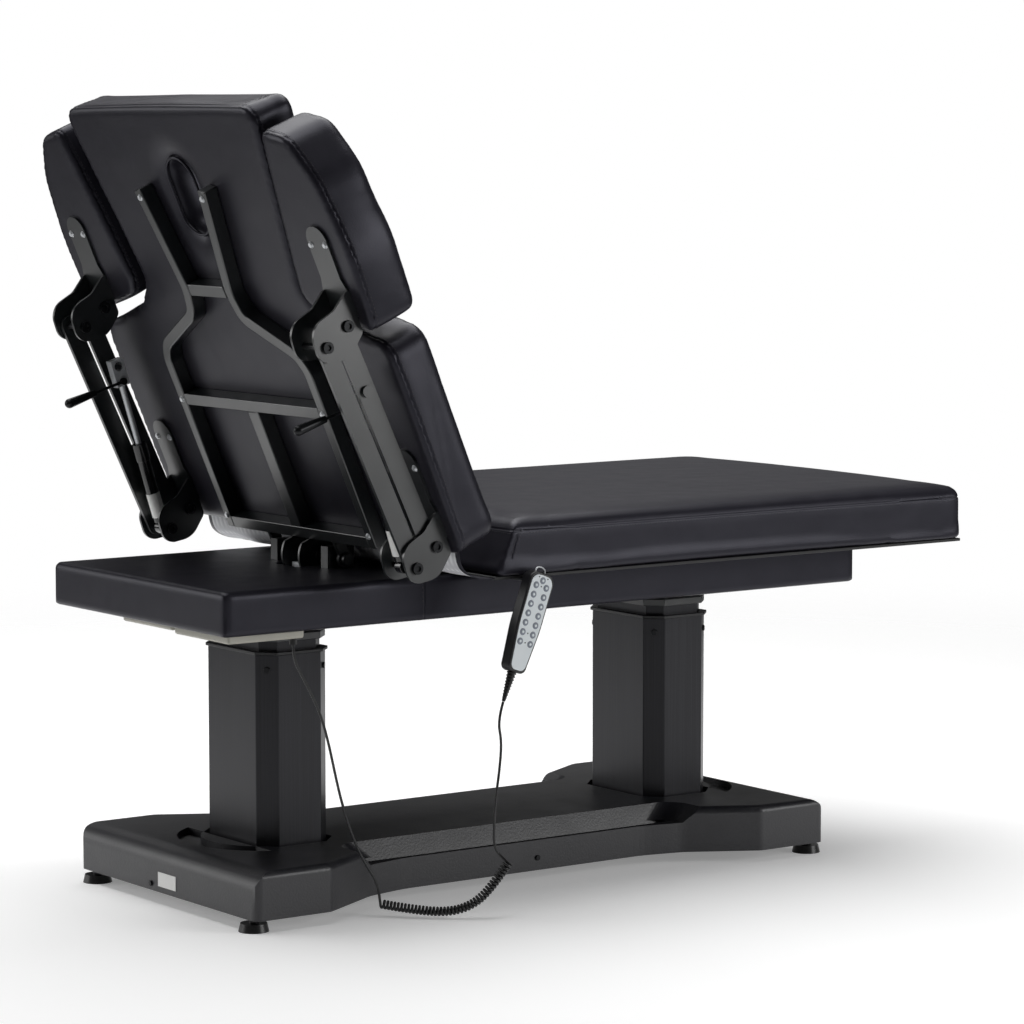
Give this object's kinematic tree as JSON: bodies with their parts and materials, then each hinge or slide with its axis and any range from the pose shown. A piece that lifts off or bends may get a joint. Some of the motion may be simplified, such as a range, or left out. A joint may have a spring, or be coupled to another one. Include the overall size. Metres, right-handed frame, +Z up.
{
  "type": "electric treatment table",
  "caption": "Electric treatment table on twin lifting columns, with a leg cushion, a tilting backrest with a face hole, drop-down arm pads and a corded handset.",
  "frame": {"origin": "on the floor, at the centre of the object's box", "axes": "+X to the foot end, +Y to the user's left, +Z up"},
  "size_m": [1.414, 0.8602, 1.2876],
  "materials": {
    "upholstery": "smooth black vinyl over foam",
    "upholstered_board": "black vinyl over board",
    "board": "painted black",
    "powder_coat": "satin black powder coat",
    "column_metal": "brushed black anodised",
    "base_shell": "fine leather-grain moulded black",
    "base_steel": "black paint",
    "bright_steel": "bright zinc",
    "dark_screw": "black oxide",
    "rubber": "black rubber",
    "cream_plastic": "cream moulded",
    "handset_black": "black moulded",
    "handset_face": "silver film with round keys",
    "cord": "black flexible sheath",
    "label": "blank pale film",
    "gas_spring": "gloss black",
    "flap": "vinyl with a pale backing"
  },
  "bodies": {
    "base": {"base_frame": "base_steel", "base_cover": "base_shell", "label_plate": "label", "column_outer_head": "column_metal", "column_outer_foot": "column_metal", "column_collars": "base_shell", "base_screws": "dark_screw", "lift_actuators": "handset_black"},
    "levelling_foot_head_right": {"levelling_foot_head_right": "rubber"},
    "levelling_foot_head_left": {"levelling_foot_head_left": "rubber"},
    "levelling_foot_foot_right": {"levelling_foot_foot_right": "rubber"},
    "levelling_foot_foot_left": {"levelling_foot_foot_left": "rubber"},
    "carriage": {"column_inner_head": "column_metal", "column_inner_foot": "column_metal", "column_top_plates": "powder_coat", "lift_rods": "bright_steel", "deck_frame": "powder_coat", "deck_cover": "upholstered_board", "leg_board": "board", "leg_cushion": "upholstery", "control_box": "cream_plastic", "power_box": "cream_plastic", "pivot_blocks": "powder_coat", "back_actuator": "handset_black", "handset_hook": "powder_coat", "handset_case": "handset_black", "handset_keypad": "handset_face", "cord_boot": "handset_black", "cord_gland": "handset_black", "cord_drop": "cord", "cord_curl": "cord", "cord_rise": "cord", "bridge_flap": "flap"},
    "backrest": {"back_cushion": "upholstery", "back_upright_left": "powder_coat", "back_upright_right": "powder_coat", "back_cross_bars": "powder_coat", "hinge_bar": "powder_coat", "pivot_shaft": "base_steel", "back_bolts": "dark_screw", "root_bracket_left": "powder_coat", "root_bracket_right": "powder_coat"},
    "back_rod": {"back_actuator_rod": "bright_steel"},
    "arm_outer_link_left": {"link_outer_left": "powder_coat"},
    "arm_inner_link_left": {"link_inner_left": "powder_coat"},
    "arm_rest_left": {"arm_pad_left": "upholstery", "pad_bracket_left": "powder_coat", "pad_bolts_left": "dark_screw"},
    "gas_spring_tube_left": {"gas_tube_left": "gas_spring"},
    "gas_spring_rod_left": {"gas_rod_left": "bright_steel"},
    "release_left": {"release_lever_left": "handset_black"},
    "arm_outer_link_right": {"link_outer_right": "powder_coat"},
    "arm_inner_link_right": {"link_inner_right": "powder_coat"},
    "arm_rest_right": {"arm_pad_right": "upholstery", "pad_bracket_right": "powder_coat", "pad_bolts_right": "dark_screw"},
    "gas_spring_tube_right": {"gas_tube_right": "gas_spring"},
    "gas_spring_rod_right": {"gas_rod_right": "bright_steel"},
    "release_right": {"release_lever_right": "handset_black"}
  },
  "joints": [
    {"name": "foot_turn_head_right", "type": "hinge", "parent": "base", "child": "levelling_foot_head_right", "pos_m": [-0.644, -0.2405, 0.03], "axis": [0, 0, 1], "continuous": true},
    {"name": "foot_turn_head_left", "type": "hinge", "parent": "base", "child": "levelling_foot_head_left", "pos_m": [-0.644, 0.2405, 0.03], "axis": [0, 0, 1], "continuous": true},
    {"name": "foot_turn_foot_right", "type": "hinge", "parent": "base", "child": "levelling_foot_foot_right", "pos_m": [0.468, -0.2405, 0.03], "axis": [0, 0, 1], "continuous": true},
    {"name": "foot_turn_foot_left", "type": "hinge", "parent": "base", "child": "levelling_foot_foot_left", "pos_m": [0.468, 0.2405, 0.03], "axis": [0, 0, 1], "continuous": true},
    {"name": "lift", "type": "slide", "parent": "base", "child": "carriage", "axis": [0, 0, 1], "range_m": [0, 0.28]},
    {"name": "back_tilt", "type": "hinge", "parent": "carriage", "child": "backrest", "pos_m": [-0.378, 0, 0.546], "axis": [0, 1, 0], "range_deg": [-66.6, 8.4], "deforming": ["bridge_flap"]},
    {"name": "back_rod_slide", "type": "slide", "parent": "carriage", "child": "back_rod", "axis": [1, 0, 0], "range_m": [-0.006, 0.036]},
    {"name": "arm_swing_left", "type": "hinge", "parent": "backrest", "child": "arm_outer_link_left", "pos_m": [-0.44424, 0.363, 0.5631], "axis": [0, -1, 0], "range_deg": [0, 40]},
    {"name": "arm_inner_left", "type": "hinge", "parent": "backrest", "child": "arm_inner_link_left", "pos_m": [-0.40758, 0.363, 0.59422], "axis": [0, -1, 0], "range_deg": [0, 40]},
    {"name": "arm_level_left", "type": "hinge", "parent": "arm_outer_link_left", "child": "arm_rest_left", "pos_m": [-0.60537, 0.363, 0.90524], "axis": [0, -1, 0], "range_deg": [-40, 0]},
    {"name": "gas_pivot_left", "type": "hinge", "parent": "backrest", "child": "gas_spring_tube_left", "pos_m": [-0.44424, 0.363, 0.5631], "axis": [0, -1, 0], "range_deg": [0, 40]},
    {"name": "gas_stroke_left", "type": "slide", "parent": "gas_spring_tube_left", "child": "gas_spring_rod_left", "axis": [-0.3012, 0, 0.9536], "range_m": [-0.036, 0]},
    {"name": "release_left", "type": "hinge", "parent": "gas_spring_rod_left", "child": "release_left", "pos_m": [-0.52288, 0.363, 0.81209], "axis": [0, 1, 0], "range_deg": [0, 12], "stiffness_Nm_per_rad": 1, "springref_deg": -5.73},
    {"name": "arm_swing_right", "type": "hinge", "parent": "backrest", "child": "arm_outer_link_right", "pos_m": [-0.44424, -0.363, 0.5631], "axis": [0, -1, 0], "range_deg": [0, 40]},
    {"name": "arm_inner_right", "type": "hinge", "parent": "backrest", "child": "arm_inner_link_right", "pos_m": [-0.40758, -0.363, 0.59422], "axis": [0, -1, 0], "range_deg": [0, 40]},
    {"name": "arm_level_right", "type": "hinge", "parent": "arm_outer_link_right", "child": "arm_rest_right", "pos_m": [-0.60537, -0.363, 0.90524], "axis": [0, -1, 0], "range_deg": [-40, 0]},
    {"name": "gas_pivot_right", "type": "hinge", "parent": "backrest", "child": "gas_spring_tube_right", "pos_m": [-0.44424, -0.363, 0.5631], "axis": [0, -1, 0], "range_deg": [0, 40]},
    {"name": "gas_stroke_right", "type": "slide", "parent": "gas_spring_tube_right", "child": "gas_spring_rod_right", "axis": [-0.3012, 0, 0.9536], "range_m": [-0.036, 0]},
    {"name": "release_right", "type": "hinge", "parent": "gas_spring_rod_right", "child": "release_right", "pos_m": [-0.52288, -0.363, 0.81209], "axis": [0, 1, 0], "range_deg": [0, 12], "stiffness_Nm_per_rad": 1, "springref_deg": -5.73}
  ],
  "couplings": [
    {"joint": "back_rod_slide", "follows": "back_tilt", "m_per_rad": -0.0279},
    {"joint": "arm_inner_left", "follows": "arm_swing_left", "ratio": 1},
    {"joint": "arm_level_left", "follows": "arm_swing_left", "ratio": -1},
    {"joint": "gas_pivot_left", "follows": "arm_swing_left", "ratio": 0.98},
    {"joint": "gas_stroke_left", "follows": "arm_swing_left", "m_per_rad": -0.047},
    {"joint": "arm_inner_right", "follows": "arm_swing_right", "ratio": 1},
    {"joint": "arm_level_right", "follows": "arm_swing_right", "ratio": -1},
    {"joint": "gas_pivot_right", "follows": "arm_swing_right", "ratio": 0.98},
    {"joint": "gas_stroke_right", "follows": "arm_swing_right", "m_per_rad": -0.047}
  ]
}
